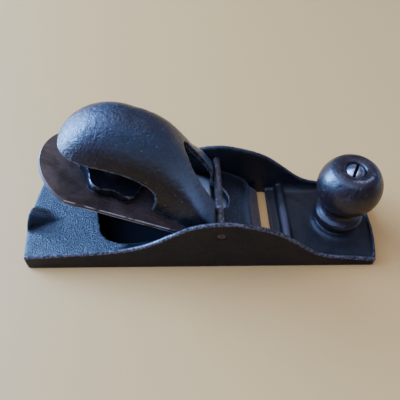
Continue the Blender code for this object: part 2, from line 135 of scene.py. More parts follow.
# The clamp.
STUD_AT = 0.0862
STUD_RADIUS = 0.0032
STUD_TOP = 0.0345
BORE_TOP = 0.0370
THREAD_PITCH = 0.00127
THREAD_DEPTH = 0.00045
BOSS_RADIUS = 0.0062
BOSS_FOOT = 0.0190
WHEEL_FOOT = 0.0032
WHEEL_RIM = 0.0046
WHEEL_HUB_TOP = 0.0125
WHEEL_BORE = 0.0036
WHEEL_ROUND = 0.0006
WHEEL_RADIUS = 0.0158
WHEEL_LOBE = 0.0014
WHEEL_LOBES = 6
WHEEL_TURN = math.radians(-1.0)

# The knob and its screw: radius and height, from the dished top down.
KNOB_TOP = 0.0446
KNOB_PROFILE = [
    (0.0118, 0.0416), (0.0142, 0.0377), (0.0153, 0.0333), (0.0152, 0.0295), (0.0139, 0.0252),
    (0.0115, 0.0217), (0.0095, 0.0196), (0.0088, 0.0178), (0.0090, 0.0160), (0.0100, 0.0143),
    (0.0116, 0.0132), (0.0123, 0.0117), (0.0122, 0.0098), (0.0113, 0.0082), (0.0098, 0.0072),
]
KNOB_BORE = 0.0026
KNOB_SEAT = 0.0060
SCREW_HEAD_RADIUS = 0.0047
SCREW_HEAD_DEPTH = 0.0030
SCREW_TOP = 0.0443
SCREW_SHANK = 0.0022
SCREW_FOOT = 0.0012
SLOT_WIDTH = 0.0013
SLOT_DEPTH = 0.0013
SLOT_TURN = math.radians(-28.0)


# ---------------------------------------------------------------- places

def on_bed(up, across, height):
    """A point of the bed's frame, in the CAD's frame."""
    return BED_FOOT + Vector((0.0, across, 0.0)) - float(up) * DOWN_SLOPE + float(height) * BED_NORMAL


def across_bed(up, height, y):
    """A point of the bed's frame, for outlines seen from the side."""
    return on_bed(up, y, height)


def along_bed(up, y, height):
    """A point of the bed's frame about the iron's middle, for outlines seen from above."""
    return on_bed(up, IRON_SIDE + y, height)


def on_stud(x, y, h):
    """A point about the stud's axis: x down the slope, y across, h over the bed."""
    return on_bed(STUD_AT - x, IRON_SIDE + y, h)


def about_pin(x, y, height):
    """A point about the cross pin's axis, at a distance across the plane."""
    return (PIN_CENTRE.x + x, height, PIN_CENTRE.z + y)


def about_knob(x, y, height):
    """A point about the knob's axis."""
    return (KNOB_X + x, y, height)


# ---------------------------------------------------------------- mesh helpers

def smooth_value(points, x):
    """Reads a smooth curve (Catmull-Rom) through points that rise in x."""
    if x <= points[0][0]:
        return points[0][1]
    if x >= points[-1][0]:
        return points[-1][1]
    i = max(k for k in range(len(points) - 1) if points[k][0] <= x)
    slopes = []
    for k in (i, i + 1):
        low, high = points[max(k - 1, 0)], points[min(k + 1, len(points) - 1)]
        slopes.append((high[1] - low[1]) / (high[0] - low[0]))
    span = points[i + 1][0] - points[i][0]
    t = (x - points[i][0]) / span
    start, end = points[i][1], points[i + 1][1]
    return (
        (2 * t**3 - 3 * t**2 + 1) * start
        + (t**3 - 2 * t**2 + t) * span * slopes[0]
        + (3 * t**2 - 2 * t**3) * end
        + (t**3 - t**2) * span * slopes[1]
    )


def smooth_path(points, steps):
    """A round path (Catmull-Rom) through flat points, with a number of steps between each two."""
    path = []
    for i in range(len(points) - 1):
        a, b = np.array(points[max(i - 1, 0)]), np.array(points[i])
        c, d = np.array(points[i + 1]), np.array(points[min(i + 2, len(points) - 1)])
        for k in range(steps):
            t = k / steps
            path.append(0.5 * (2 * b + (c - a) * t + (2 * a - 5 * b + 4 * c - d) * t**2
                               + (3 * b - a - 3 * c + d) * t**3))
    path.append(np.array(points[-1]))
    return path


def added(name, data):
    """A new object in the scene."""
    thing = bpy.data.objects.new(name, data)
    bpy.context.scene.collection.objects.link(thing)
    return thing


def mesh_object(name, verts, faces):
    """A new object with smooth, outward faces."""
    mesh = bpy.data.meshes.new(name)
    mesh.from_pydata([tuple(v) for v in verts], [], faces)
    shape = bmesh.new()
    shape.from_mesh(mesh)
    bmesh.ops.recalc_face_normals(shape, faces=shape.faces[:])
    shape.to_mesh(mesh)
    shape.free()
    mesh.shade_smooth()
    return added(name, mesh)


def skinned(name, rings, looped=False):
    """Joins equal closed rings of points into one body: a tube with capped ends, or a closed loop."""
    count = len(rings[0])
    verts = [point for ring in rings for point in ring]
    faces = []
    for r in range(len(rings) if looped else len(rings) - 1):
        one, two = r * count, (r + 1) % len(rings) * count
        for i in range(count):
            j = (i + 1) % count
            faces.append((one + i, one + j, two + j, two + i))
    if not looped:
        faces.append(tuple(range(count)))
        faces.append(tuple(reversed(range(len(verts) - count, len(verts)))))
    return mesh_object(name, verts, faces)


def prism(name, outline, place, low, high):
    """A solid between two copies of a flat outline. place takes (a, b, c) to a point."""
    rings = [[place(a, b, c) for a, b in outline] for c in (low, high)]
    return skinned(name, rings)


def revolved(name, profile, place, steps, looped=False, radius_at=None):
    """Turns (radius, height) pairs about an axis. place takes (x, y, height) to a point."""
    rings = []
    for radius, height in profile:
        ring = []
        for i in range(steps):
            angle = 2 * math.pi * i / steps
            r = radius_at(radius, height, angle) if radius_at else radius
            ring.append(place(r * math.cos(angle), r * math.sin(angle), height))
        rings.append(ring)
    return skinned(name, rings, looped)


def apply_modifiers(thing):
    """Applies the modifiers of an object to its mesh."""
    depsgraph = bpy.context.evaluated_depsgraph_get()
    mesh = bpy.data.meshes.new_from_object(thing.evaluated_get(depsgraph))
    thing.modifiers.clear()
    old = thing.data
    thing.data = mesh
    bpy.data.meshes.remove(old)


def cut(target, tool):
    """Cuts a tool's shape out of a mesh and removes the tool."""
    modifier = target.modifiers.new("cut", "BOOLEAN")
    modifier.operation = "DIFFERENCE"
    modifier.solver = "MANIFOLD"
    modifier.object = tool
    apply_modifiers(target)
    bpy.data.objects.remove(tool)


def join(target, others):
    """Puts the meshes of other objects, all of them unmoved, into one object."""
    shape = bmesh.new()
    for thing in [target] + others:
        shape.from_mesh(thing.data)
    shape.to_mesh(target.data)
    shape.free()
    for thing in others:
        bpy.data.objects.remove(thing)


def remesh(thing, voxel):
    """Puts one even skin over a closed mesh, or over several that overlap."""
    modifier = thing.modifiers.new("skin", "REMESH")
    modifier.mode = "VOXEL"
    modifier.voxel_size = voxel
    apply_modifiers(thing)
    thing.data.shade_smooth()


def rows_of(items, name, width, kind=float):
    """One property of a mesh's points or edges, one row each."""
    values = np.empty(len(items) * width, kind)
    items.foreach_get(name, values)
    return values.reshape(-1, width)


def points_of(thing):
    """A mesh's points."""
    return rows_of(thing.data.vertices, "co", 3)


def normals_of(thing):
    """The normals of a mesh's points."""
    return rows_of(thing.data.vertices, "normal", 3)


def edges_of(thing):
    """A mesh's edges, as pairs of vertex numbers."""
    return rows_of(thing.data.edges, "vertices", 2, np.int32)


def set_points(thing, co):
    """Moves a mesh's points."""
    thing.data.vertices.foreach_set("co", co.ravel())
    thing.data.update()


def neighbour_mean(values, edges):
    """The mean of each vertex's neighbours, for values of one or more columns."""
    count = np.bincount(edges.ravel(), minlength=len(values)).astype(float)
    total = np.empty_like(values)
    for c in range(values.shape[1]):
        total[:, c] = np.bincount(edges[:, 0], values[edges[:, 1], c], len(values))
        total[:, c] += np.bincount(edges[:, 1], values[edges[:, 0], c], len(values))
    return total / np.maximum(count, 1.0)[:, None]


def relax(thing, rounds, strength=0.5, keep=0.0, where=None):
    """Smooths a mesh. keep is the share of each round's shrinking given back; where weighs each vertex."""
    edges, co = edges_of(thing), points_of(thing)
    strength = strength if where is None else strength * where[:, None]
    for _ in range(rounds):
        pull = neighbour_mean(co, edges) - co
        co = co + strength * pull
        if keep:
            co = co - keep * strength * neighbour_mean(pull, edges)
    set_points(thing, co)


def store(thing, name, values):
    """Keeps a number for each vertex under a name that a material can read."""
    attribute = thing.data.attributes.new(name, "FLOAT", "POINT")
    attribute.data.foreach_set("value", np.asarray(values, np.float32))


def mark_edges(thing, rounds, scale):
    """Stores as "edge" how far each vertex stands out: above 0.5 on edges, below in corners."""
    edges, co = edges_of(thing), points_of(thing)
    soft = co.copy()
    for _ in range(rounds):
        soft = soft + 0.6 * (neighbour_mean(soft, edges) - soft)
    out = ((co - soft) * normals_of(thing)).sum(1, keepdims=True)
    out = 0.5 * (out + neighbour_mean(out, edges))
    store(thing, "edge", np.clip(0.5 + out[:, 0] / scale, 0.0, 1.0))


# Large odd numbers that turn a cell of space, a seed and their mix into a number without a pattern.
CELL_SCRAMBLE = (73856093, 19349663, 83492791)
SEED_SCRAMBLE = 2654435
LAST_SCRAMBLE = 1274126177


def lumps(points, size, seed):
    """Smooth value noise from -1 to 1 with lumps of about the given size."""
    grid = points / size + 1000.0
    cell = np.floor(grid).astype(np.int64)
    part = grid - cell
    part = part * part * (3 - 2 * part)
    total = np.zeros(len(points))
    for corner in range(8):
        step = np.array([corner & 1, corner >> 1 & 1, corner >> 2])
        at = cell + step
        mixed = np.bitwise_xor.reduce(at * CELL_SCRAMBLE, axis=1) ^ (seed + 1) * SEED_SCRAMBLE
        mixed = (mixed ^ mixed >> 13) * LAST_SCRAMBLE & 0xFFFFFFFF
        mixed = (mixed ^ mixed >> 16) & 0xFFFF
        weight = np.prod(np.where(step == 1, part, 1 - part), axis=1)
        total += weight * mixed / 0xFFFF
    return 2 * total - 1


def ramp(values, low, high):
    """0 below low, 1 above high, and smooth between."""
    t = np.clip((values - low) / (high - low), 0.0, 1.0)
    return t * t * (3 - 2 * t)


def fall(values, low, high):
    """1 below low, 0 above high, and smooth between."""
    return 1 - ramp(values, low, high)


def lumpy(co, *layers):
    """A sum of layers of (depth, size, seed) lumps."""
    return sum(depth * lumps(co, size, seed) for depth, size, seed in layers)


def roughen(thing, *layers):
    """Moves the points along their normals by layers of (depth, size, seed) lumps."""
    co, normals = points_of(thing), normals_of(thing)
    set_points(thing, co + normals * lumpy(co, *layers)[:, None])


def up_slope(co):
    """How far up the bed each point lies."""
    return (np.array(BED_FOOT) - co) @ np.array(DOWN_SLOPE)


# ---------------------------------------------------------------- the pieces

VOXEL_CASTING = 0.00045
VOXEL_CAP = 0.00045
VOXEL_SCREW = 0.0002


def keep_inside(thing, node):
    """Holds a piece inside the box of the CAD node that it stands for."""
    low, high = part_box(node)
    set_points(thing, np.clip(points_of(thing), np.array(low), np.array(high)))


def rim_points():
    """The outer rim of the CAD casting's cheeks, in order along the plane."""
    co = points_of(frame["nodes"]["body_casting"])
    co = co[(np.abs(co[:, 1]) > BODY_HIGH.y - 0.0001) & (co[:, 2] > SOLE + 0.0005)]
    return co[np.lexsort((co[:, 2], co[:, 0]))]


RIM_POINTS = rim_points()


def rim_height(x):
    """Height of the cheeks' rim at x, read from the CAD casting."""
    return np.interp(x, RIM_POINTS[:, 0], RIM_POINTS[:, 2])


def corner_fillet(name, side, start, end, radius):
    """A concave fillet between the floor and a cheek, no taller than the rim allows."""
    root = 0.0008
    rings = []
    for i in range(33):
        x = start + (end - start) * i / 32
        r = max(min(radius, 0.75 * (rim_height(x) - SOLE)), 0.0004)
        ring = [(x, CHEEK + root, SOLE - root), (x, CHEEK - r, SOLE - root)]
        for k in range(9):
            t = math.pi / 2 * k / 8
            ring.append((x, CHEEK - r + r * math.sin(t), SOLE + r - r * math.cos(t)))
        ring.append((x, CHEEK + root, SOLE + r))
        rings.append([(px, side * py, pz) for px, py, pz in ring])
    return skinned(name, rings)


def pin_collar(side):
    """A ring of iron inside one cheek that closes the gap round the riveted pin."""
    inner, outer = 0.5 * PIN_RADIUS, PIN_RADIUS + 0.0010
    near, far = side * (CHEEK + 0.0003), side * (BODY_HIGH.y - 0.0003)
    ring = [(inner, near), (outer, near), (outer, far), (inner, far)]
    return revolved("pin_hole", ring, about_pin, 48, looped=True)


def boss_flare():
    """The hollow curve where the knob's boss meets the toe, buried in both on its other sides."""
    inner, low, high = 0.0060, SOLE - 0.0008, SOLE + 0.0025
    flare = [(inner, low), (0.0150, low), (0.0150, SOLE), (0.0132, SOLE + 0.0002), (0.0121, SOLE + 0.0007),
             (0.0113, SOLE + 0.0015), (0.0108, high), (inner, high)]
    return revolved("boss_flare", flare, about_knob, 64, looped=True)


def cheek_depth(co):
    """How far each point lies inside the nearer cheek's outer face."""
    return BODY_HIGH.y - np.abs(co[:, 1])


def soften_casting(casting):
    """Smooths the heel, makes the well's rear edge uneven and rounds the cheeks' rims."""
    co = points_of(casting)
    heel = fall(co[:, 0], -0.066, -0.062) * ramp(co[:, 2], 0.0075, 0.0090)
    heel *= ramp(cheek_depth(co), 0.002, 0.004)
    relax(casting, 30, 0.5, where=heel)
    co = points_of(casting)
    brink = ramp(co[:, 0], -0.056, -0.052) * fall(co[:, 0], -0.034, -0.030)
    brink *= ramp(co[:, 2], SOLE + 0.001, SOLE + 0.004) * ramp(cheek_depth(co), 0.0026, 0.0040)
    co[:, 0] += brink * lumpy(co, (0.00050, 0.0045, 7), (0.00030, 0.0020, 8))
    depth = cheek_depth(co)
    rim = np.clip(1 - (rim_height(co[:, 0]) - co[:, 2]) / RIM_DEPTH, 0.0, 1.0)
    rim *= fall(depth, WALL, WALL + 0.0006)
    off = np.clip(2 * depth / WALL - 1, -1.0, 1.0)

    # Behind the heel's brink the platform is flush with the rim, so only the outer half is rounded.
    off = np.where(off > 0, off * ramp(co[:, 0], -0.046, -0.038), off)
    co[:, 2] -= rim * RIM_ROUND * (1 - np.sqrt(1 - 0.96 * off**2))
    set_points(casting, co)


def mark_casting(casting, co, inner, platform):
    """Stores where the casting is rough, where painted shade goes on the deep floor and on the horn, and
    where a painted highlight goes on the rib.
    """
    x, y, z, depth = co[:, 0], co[:, 1], co[:, 2], cheek_depth(co)
    # Painted shade: the deep floor under the iron and the brow above it are marked to be painted near
    # black.
    deep = fall(z, SOLE + 0.0045, SOLE + 0.0075) * ramp(depth, 0.0018, 0.0024)
    deep *= ramp(x, WELL_BACK - 0.0015, WELL_BACK) * fall(x, WELL_FRONT - 0.002, WELL_FRONT)
    brow = ramp(depth, 0.5 * WALL, 0.75 * WALL) * ramp(z, SOLE + 0.007, SOLE + 0.009)
    brow *= ramp(x, -0.041, -0.036) * fall(x, -0.006, 0.0)
    # Painted highlight: the rib's face, stored as rubbed, is marked to be painted lighter where the light
    # falls on it.
    rib_highlight = ramp(x, RIB_BACK, RIB_BACK + 0.001) * fall(x, RIB_FRONT - 0.001, RIB_FRONT)
    rib_highlight *= ramp(z, SOLE + 0.001, SOLE + 0.003) * fall(np.abs(y + 0.004), 0.006, 0.016)
    # Painted shade: the horn's side is marked to be painted near black.
    along = (x - BODY_LOW.x) / HORN_LENGTH
    beside = HORN_SIDE - y
    spread = HORN_RADIUS * (1 - np.clip(along, 0.0, 1.0))
    horn_shade = ramp(beside, -0.0018, 0.0014) * fall(beside - spread, -0.0004, 0.0022) * fall(along, 0.9, 1.2)
    store(casting, "inside", inner)
    store(casting, "shaded_well", np.maximum(deep, brow))
    store(casting, "rubbed", rib_highlight)
    store(casting, "platform", platform)
    store(casting, "horn_shade", horn_shade * inner * ramp(z, SOLE + 0.003, SOLE + 0.006))
    store(casting, "toe", ramp(x, 0.050, 0.078))


def build_casting():
    """The casting: the CAD shape with cast fillets, soft worn edges and a rough cast skin inside."""
    mesh = frame["nodes"]["body_casting"].data.copy()
    shape = bmesh.new()
    shape.from_mesh(mesh)
    bmesh.ops.remove_doubles(shape, verts=shape.verts[:], dist=0.000001)
    shape.to_mesh(mesh)
    shape.free()
    mesh.materials.clear()
    casting = added("casting", mesh)

    extras = []
    for side in (-1, 1):
        extras += [corner_fillet(name, side, start, end, radius) for name, start, end, radius in FILLETS]
        extras.append(pin_collar(side))
    extras.append(boss_flare())
    join(casting, extras)
    remesh(casting, VOXEL_CASTING)
    relax(casting, 5, 0.5, keep=0.25)
    soften_casting(casting)

    co, normals = points_of(casting), normals_of(casting)
    inner = ramp(np.minimum(cheek_depth(co), co[:, 2]), 0.0006, 0.0016)
    platform = fall(co[:, 0], -0.037, -0.033) * ramp(normals[:, 2], 0.5, 0.9) * inner
    platform *= ramp(co[:, 2], SOLE + 0.003, SOLE + 0.006)
    skin = lumpy(co, (0.00005, 0.0026, 1), (0.00003, 0.0012, 2))
    pits = lumpy(co, (0.00002, 0.0024, 3), (0.00003, 0.0009, 4))
    plain = lumpy(co, (0.000015, 0.004, 5), (0.000012, 0.0014, 6))
    move = inner * skin + platform * pits + (1 - inner) * plain
    set_points(casting, co + normals * move[:, None])
    keep_inside(casting, "body_casting")
    mark_edges(casting, 10, 0.0005)
    mark_casting(casting, co, inner, platform)
    return casting


def cap_section(up, inset, foot, steps=64):
    """One section across the lever cap, shrunk by an inset, from a foot height up."""
    if up <= CAP_CROWN:
        top, half = smooth_value(CAP_TOP, up), smooth_value(CAP_HALF_WIDTH, up)
    else:
        along = min((up - CAP_CROWN) / (CAP_END - CAP_CROWN - inset), 1.0)
        crown, spring = CAP_TOP[-1][1], CAP_SPRING[-1][1]
        top = spring + (crown - inset - spring) * math.sqrt(1 - along**2) + inset
        half = (CAP_HALF_WIDTH[-1][1] - inset) * (1 - along**CAP_END_POWER) ** (1 / CAP_END_POWER) + inset
    spring = min(smooth_value(CAP_SPRING, up), top - LEAST_RISE)
    power = 2 / smooth_value(CAP_SHARPNESS, up)
    half = max(half - inset, LEAST_HALF_WIDTH)
    rise = max(top - inset - spring, LEAST_RISE)
    section = [(-half, foot)]
    for i in range(steps + 1):
        angle = math.pi * (1 - i / steps)
        across, lift = math.cos(angle), max(math.sin(angle), 0.0)
        y = half * math.copysign(abs(across) ** power, across)
        section.append((y, spring + rise * lift**power))
    section.append((half, foot))
    return [on_bed(up, IRON_SIDE + y, h) for y, h in section]


def cap_stations(first, last):
    """Where the lever cap's sections lie: even along the flat, crowding round the rear end."""
    flat, round_end = 110, 40
    ups = [first + (CAP_CROWN - first) * i / flat for i in range(flat)]
    for i in range(round_end + 1):
        ups.append(CAP_CROWN + (last - CAP_CROWN) * math.sin(math.pi / 2 * i / round_end))
    return ups


def finger_gap(steps=60):
    """What is cut away under the palm rest's rim, from side to side."""
    first, final = PALM_RIM[0][0], PALM_RIM[-1][0]
    gap = [(first - 0.0005, -0.01)]
    for i in range(steps + 1):
        up = first + (final - first) * (i / steps) ** 1.6
        gap.append((up, smooth_value(PALM_RIM, up)))
    gap.append((final, -0.01))
    return prism("finger_gap", gap, across_bed, -0.05, 0.05)


def teardrop(steps=30):
    """The hole through the lever cap: pointed up the slope, half an ellipse down it."""
    drop = []
    for i in range(steps + 1):
        t = i / steps
        up = HOLE_BACK + (HOLE_WIDEST - HOLE_BACK) * t
        drop.append((up, HOLE_HALF_WIDTH * math.sin(math.pi / 2 * t) ** HOLE_BLUNTNESS))
    nose = HOLE_WIDEST - HOLE_FRONT
    for i in range(1, steps):
        angle = math.pi * i / (2 * steps)
        drop.append((HOLE_WIDEST - nose * math.sin(angle), HOLE_HALF_WIDTH * math.cos(angle)))
    drop.append((HOLE_FRONT, 0.0))
    drop += [(up, -y) for up, y in reversed(drop[1:-1])]
    return prism("teardrop", drop, along_bed, -0.01, 0.07)


def mark_cap(cap, co, height, rough):
    """Stores where the lever cap is pitted, where it is rubbed by the palm and given a painted bluish
    sheen, or turned to the side.
    """
    normals = normals_of(cap)
    facing = normals @ np.array(BED_NORMAL)
    plate = ramp(facing, 0.90, 1.0) * (1 - rough)
    # Palm wear and painted reflection: surfaces that face partly up get a bluish painted sheen, less on the
    # top.
    palm = ramp(facing, 0.20, 0.55) * (1 - 0.65 * ramp(facing, 0.72, 0.95)) * (1 - plate)
    palm *= ramp(height, 0.003, 0.005) * ramp(co[:, 0], -0.052, -0.032)
    store(cap, "dome", rough)
    store(cap, "palm", palm)
    store(cap, "arm_sheen", fall(height, 0.022, 0.036))
    store(cap, "under", ramp(np.abs(normals[:, 1]), 0.70, 0.92))


def build_cap():
    """The lever cap: nosed plate, flared shoulders and hollow domed palm rest."""
    pin_up = (PIN_CENTRE - BED_FOOT).dot(-DOWN_SLOPE)

    def foot(up):
        return IRON_THICK + GAP + CAP_RELIEF * max(up - pin_up, 0.0)

    ups = cap_stations(CAP_TOP[0][0], CAP_END - TIP)
    cap = skinned("lever_cap_casting", [cap_section(up, 0.0, foot(up)) for up in ups])
    ups = cap_stations(CAP_NOSE, CAP_END - CAP_WALL - TIP)
    hollow = skinned("hollow", [cap_section(up, CAP_WALL, -0.01) for up in ups])
    column = [(BOSS_RADIUS + 0.0008, 0.0600), (BOSS_RADIUS, BOSS_FOOT + 0.003), (BOSS_RADIUS, BOSS_FOOT)]
    cut(hollow, revolved("boss", column, on_stud, 48))
    cut(cap, hollow)
    cut(cap, finger_gap())
    cut(cap, teardrop())
    bore = [(STUD_RADIUS + GAP, BORE_TOP), (STUD_RADIUS + GAP, 0.0)]
    cut(cap, revolved("bore", bore, on_stud, 48))

    remesh(cap, VOXEL_CAP)
    relax(cap, 7, 0.5, keep=0.25)
    co, normals = points_of(cap), normals_of(cap)
    height = (co - np.array(BED_FOOT)) @ np.array(BED_NORMAL)
    rough = ramp(height, 0.012, 0.020)
    skin = lumpy(co, (0.00003, 0.0030, 11), (0.00003, 0.0012, 12))
    pits = 0.00010 * np.minimum(lumps(co, 0.0013, 13) + 0.45, 0.0)
    set_points(cap, co + normals * ((0.5 + 0.5 * rough) * skin + pits)[:, None])
    keep_inside(cap, "lever_cap")
    mark_edges(cap, 10, 0.0005)
    mark_cap(cap, co, height, rough)
    return cap


def crowded(count, power=2.2):
    """Values from 0 to 1 that crowd towards both ends."""
    line = np.linspace(-1.0, 1.0, count)
    return 0.5 + 0.5 * np.sign(line) * (1 - (1 - np.abs(line)) ** power)


def iron_faces(columns, rows):
    """The iron's under and upper face, each a grid of points with its border rounded over."""
    half = IRON_WIDTH / 2
    drop = IRON_END - IRON_SQUARE_END
    radius = (half**2 + drop**2) / (2 * drop)
    under, upper = [], []
    for u in rows:
        for v in columns:
            y = half * (2 * v - 1)
            rear = IRON_END - radius + math.sqrt(radius**2 - y**2)
            up = IRON_EDGE + (rear - IRON_EDGE) * u
            side = min(max(min(half - abs(y), rear - up), 0.0), IRON_ROUND)
            sink = IRON_ROUND - math.sqrt(IRON_ROUND**2 - (IRON_ROUND - side) ** 2)
            bevel = (up - IRON_EDGE) * IRON_THICK / IRON_BEVEL + TIP
            under.append(on_bed(up, IRON_SIDE + y, sink))
            upper.append(on_bed(up, IRON_SIDE + y, min(IRON_THICK - sink, bevel)))
    return under, upper


def mark_iron(iron, border_start):
    """Stores the rubbed rim, the bevel, the open rear below which shade is painted, and the clean steel
    under the lever cap, painted with a reflection and a dark gap.
    """
    co = points_of(iron)
    ups = up_slope(co)
    side = np.minimum(IRON_WIDTH / 2 - np.abs(co[:, 1] - IRON_SIDE), IRON_END - ups)
    rim = fall(side, 0.00012, 0.0003)
    rim[border_start:] = 0.0
    bevel_end = IRON_EDGE + IRON_BEVEL
    upright = np.abs(normals_of(iron) @ np.array(BED_NORMAL))
    # Painted reflection: the clean steel under the lever cap is marked to be painted near white, all but a
    # band that stays dark as a painted gap.
    clean = ramp(ups, 0.012, 0.016) * fall(ups, 0.050, 0.056) * ramp(side, 0.004, 0.007)
    dark_gap_band = ramp(ups, 0.0306, 0.0318) * fall(ups, 0.0346, 0.0358)
    store(iron, "rim", rim)
    store(iron, "rear", ramp(ups, 0.088, 0.114))
    store(iron, "flank", fall(upright, 0.2, 0.7))
    store(iron, "bevel", fall(ups, bevel_end - 0.0004, bevel_end))
    store(iron, "clean_steel_glare", clean * (1 - dark_gap_band))


def build_iron():
    """The iron: a plate with rubbed edges, a ground bevel at the mouth and a round rear end."""
    columns, rows = crowded(61), crowded(181)
    under, upper = iron_faces(columns, rows)
    across, last_row, last_column = len(columns), len(rows) - 1, len(columns) - 1
    verts, faces = under + upper, []
    for level in (0, len(under)):
        for r in range(last_row):
            for c in range(last_column):
                corner = level + r * across + c
                faces.append((corner, corner + 1, corner + across + 1, corner + across))

    # Two points between the faces all round the border, so that only its corners are rubbed.
    border = [(r, 0) for r in range(last_row)] + [(last_row, c) for c in range(last_column)]
    border += [(last_row - r, last_column) for r in range(last_row)]
    border += [(0, last_column - c) for c in range(last_column)]
    border_start = len(verts)
    columns_down = []
    for r, c in border:
        low, high = r * across + c, len(under) + r * across + c
        columns_down.append((low, len(verts), len(verts) + 1, high))
        verts += [verts[low].lerp(verts[high], 0.25), verts[low].lerp(verts[high], 0.75)]
    for one, two in zip(columns_down, columns_down[1:] + columns_down[:1]):
        for k in range(3):
            faces.append((one[k], one[k + 1], two[k + 1], two[k]))
    iron = mesh_object("plane_iron", verts, faces)
    iron.data.set_sharp_from_angle(angle=math.radians(40))
    keep_inside(iron, "cutter_iron")
    mark_iron(iron, border_start)
    return iron


def build_wheel():
    """The clamp wheel: six lobes with rounded edges round a hub."""
    low, top, hub = WHEEL_FOOT, WHEEL_FOOT + WHEEL_RIM, WHEEL_HUB_TOP
    r, edge, corner = WHEEL_RADIUS, WHEEL_ROUND, WHEEL_ROUND / 3
    profile = [
        (WHEEL_BORE, low), (0.0060, low), (0.0110, low), (r - edge, low), (r - corner, low + corner),
        (r, low + edge), (r, top - edge), (r - corner, top - corner), (r - edge, top),
        (0.0115, top - 0.0003), (0.0082, top - 0.0003), (0.0068, top + 0.0006), (0.0061, top + 0.0020),
        (0.0060, hub - 0.0009), (0.0057, hub - 0.0003), (0.0051, hub), (0.0040, hub),
        (WHEEL_BORE, hub - 0.0003), (WHEEL_BORE, 0.0060),
    ]
    path = smooth_path(profile + profile[:1], 3)[:-1]

    def lobed(radius, height, angle):
        share = float(ramp(np.array(radius), 0.0090, 0.0150))
        return radius + share * WHEEL_LOBE * math.cos(WHEEL_LOBES * (angle - WHEEL_TURN))

    wheel = revolved("hand_wheel", path, on_stud, 30 * WHEEL_LOBES, looped=True, radius_at=lobed)
    co = points_of(wheel)
    roughen(wheel, (0.00004, 0.0018, 21))
    keep_inside(wheel, "clamp_wheel")
    mark_edges(wheel, 6, 0.0005)
    rear = STUD_AT + WHEEL_RADIUS
    # Painted highlight: the end of one lobe is marked to be painted bright like worn metal.
    tip_glint = ramp(up_slope(co), rear - 0.0002, rear + 0.0006)
    store(wheel, "tip_glint", tip_glint * fall(co[:, 1], -0.0005, 0.0015))
    return wheel


def build_stud():
    """The clamp stud, threaded above the wheel's hub, with a chamfered foot."""
    foot = IRON_THICK + GAP
    start = 0.0140

    def threaded(radius, height, angle):
        turn = (height / THREAD_PITCH - angle / (2 * math.pi)) % 1.0
        depth = THREAD_DEPTH * ramp(np.array(height), start, start + THREAD_PITCH)
        return radius - float(depth) * abs(2 * turn - 1)

    count = int((STUD_TOP - foot) / (THREAD_PITCH / 10))
    profile = [(STUD_RADIUS - 0.0008, foot), (STUD_RADIUS - 0.0003, foot + 0.0003)]
    profile += [(STUD_RADIUS, foot + 0.0007 + (STUD_TOP - foot - 0.0010) * i / count) for i in range(count)]
    profile.append((STUD_RADIUS - 0.0006, STUD_TOP))
    stud = revolved("threaded_stud", profile, on_stud, 40, radius_at=threaded)
    keep_inside(stud, "clamp_stud")
    return stud


def build_pin():
    """The cross pin: a plain rod, hammered over at both ends."""
    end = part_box("cross_pin")[1].y
    shank = PIN_RADIUS - 0.00004
    rivet = [(0.0003, end), (0.0010, end - 0.00002), (0.0014, end - 0.00006), (0.0017, end - 0.00014),
             (0.0019, end - 0.0004), (PIN_RADIUS, end - 0.0009), (shank, end - 0.0020)]
    middle = [(shank, end * (1 - i / 24)) for i in range(3, 46)]
    profile = rivet + middle + [(radius, -height) for radius, height in reversed(rivet)]
    pin = revolved("rivet_pin", profile, about_pin, 36)
    co = points_of(pin)
    roughen(pin, (0.00003, 0.0012, 31))
    keep_inside(pin, "cross_pin")
    out = np.hypot(co[:, 0] - PIN_CENTRE.x, co[:, 2] - PIN_CENTRE.z)
    face = ramp(np.abs(co[:, 1]), end - 0.0010, end - 0.0006)
    store(pin, "end", face)
    store(pin, "rust", face * ramp(out, 0.0012, 0.0016))
    return pin


def build_knob():
    """The turned knob, bored for its screw and sunk for the screw's head."""
    seat = SCREW_TOP - SCREW_HEAD_DEPTH - GAP
    wide = SCREW_HEAD_RADIUS + 0.0001
    dish = [(wide, KNOB_TOP - 0.0021), (wide + 0.0007, KNOB_TOP - 0.0014), (0.0070, KNOB_TOP - 0.0010),
            (0.0088, KNOB_TOP - 0.0011), (0.0104, KNOB_TOP - 0.0018)]
    outside = smooth_path(dish + KNOB_PROFILE, 6)
    foot = KNOB_PROFILE[-1][1]
    inside = [(KNOB_SEAT, foot), (KNOB_BORE, foot), (KNOB_BORE, 0.5 * (foot + seat)), (KNOB_BORE, seat),
              (wide, seat), (wide, 0.5 * (seat + KNOB_TOP - 0.0022))]
    knob = revolved("turned_knob", outside + inside, about_knob, 128, looped=True)
    co = points_of(knob)
    roughen(knob, (0.00003, 0.005, 41), (0.00002, 0.0016, 42))
    keep_inside(knob, "front_knob")
    out = np.hypot(co[:, 0] - KNOB_X, co[:, 1])
    ring = ramp(out, 0.0072, 0.0078) * fall(out, 0.0084, 0.0092) * (co[:, 2] > 0.0380)
    bearing = np.arctan2(co[:, 1], co[:, 0] - KNOB_X)
    store(knob, "arc", ring * fall(np.abs(bearing + 1.15), 0.55, 0.95))
    return knob


